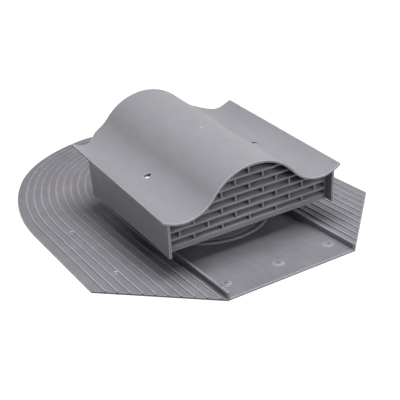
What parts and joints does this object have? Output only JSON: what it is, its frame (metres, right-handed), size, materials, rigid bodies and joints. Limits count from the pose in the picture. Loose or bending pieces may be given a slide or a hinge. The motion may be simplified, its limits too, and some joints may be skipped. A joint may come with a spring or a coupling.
{
  "type": "roof vent",
  "caption": "Roof vent with a ribbed flange, a round duct opening and a wave-shaped hood with a louvred front.",
  "frame": {"origin": "centre of the round duct opening, on the flange's underside", "axes": "+Z out of the roof, square to the flange; +Y up the roof slope, away from the louvred front; +X across the roof"},
  "size_m": [0.4206, 0.6006, 0.1453],
  "materials": {
    "dark_plastic": "moulded, fine grain, mid grey",
    "hood_plastic": "moulded, satin, light grey",
    "louvre_plastic": "moulded, satin, mid grey",
    "screw_steel": "zinc plated"
  },
  "bodies": {
    "root": {"base_flange": "dark_plastic", "hood_cover": "hood_plastic", "louvre_grille": "louvre_plastic", "cover_screws": "screw_steel"}
  },
  "joints": []
}
